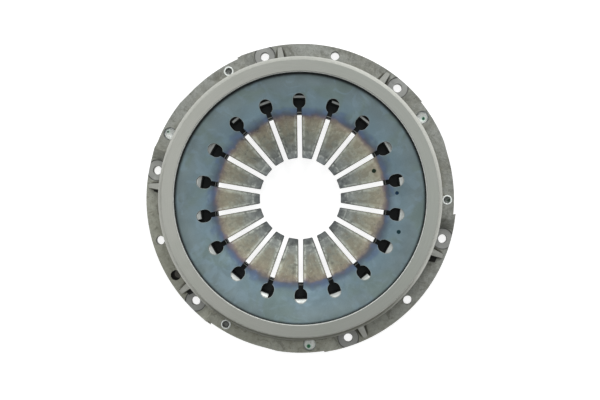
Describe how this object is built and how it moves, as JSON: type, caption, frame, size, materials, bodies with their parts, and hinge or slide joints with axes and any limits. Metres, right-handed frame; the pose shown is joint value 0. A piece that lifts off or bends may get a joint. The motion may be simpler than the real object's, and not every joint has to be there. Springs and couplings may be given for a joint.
{
  "type": "clutch pressure plate",
  "caption": "Pull-type clutch cover assembly with a cast cover, slotted diaphragm spring, pressure plate and riveted strap packs.",
  "frame": {"origin": "on the clutch's centre line, in the plane of the flywheel face that the cover's bolt pads stand on", "axes": "+Z along the centre line from the flywheel to the gearbox, +Y through the middle hole of one bolt group, +X completes a right-handed frame"},
  "size_m": [0.301, 0.297, 0.048],
  "materials": {
    "cast_iron_cover": "cast, with a turned top ring",
    "wire_steel": "drawn wire, oiled",
    "tempered_spring": "tempered and shot peened, blue and straw heat colours",
    "cast_iron_plate": "cast, with ground friction face and turned ridge",
    "strap_steel": "rolled spring strip",
    "zinc_washer": "zinc plated",
    "zinc_rivet": "zinc plated, satin"
  },
  "bodies": {
    "cover_body": {"cover": "cast_iron_cover", "fulcrum_ring": "wire_steel", "diaphragm_spring": "tempered_spring", "strap_1_upper": "strap_steel", "strap_1_middle": "strap_steel", "strap_1_lower": "strap_steel", "strap_2_upper": "strap_steel", "strap_2_middle": "strap_steel", "strap_2_lower": "strap_steel", "strap_3_upper": "strap_steel", "strap_3_middle": "strap_steel", "strap_3_lower": "strap_steel", "strap_washer_1": "zinc_washer", "strap_washer_2": "zinc_washer", "strap_washer_3": "zinc_washer", "cover_rivet_1": "zinc_rivet", "cover_rivet_2": "zinc_rivet", "cover_rivet_3": "zinc_rivet"},
    "plate_body": {"pressure_plate": "cast_iron_plate", "lug_rivet_1": "zinc_rivet", "lug_rivet_2": "zinc_rivet", "lug_rivet_3": "zinc_rivet"}
  },
  "joints": [
    {"name": "plate_lift", "type": "slide", "parent": "cover_body", "child": "plate_body", "axis": [0, 0, 1], "range_m": [0, 0.0045], "stiffness_N_per_m": 60000, "deforming": ["diaphragm_spring", "strap_1_upper", "strap_1_middle", "strap_1_lower", "strap_2_upper", "strap_2_middle", "strap_2_lower", "strap_3_upper", "strap_3_middle", "strap_3_lower"]}
  ]
}
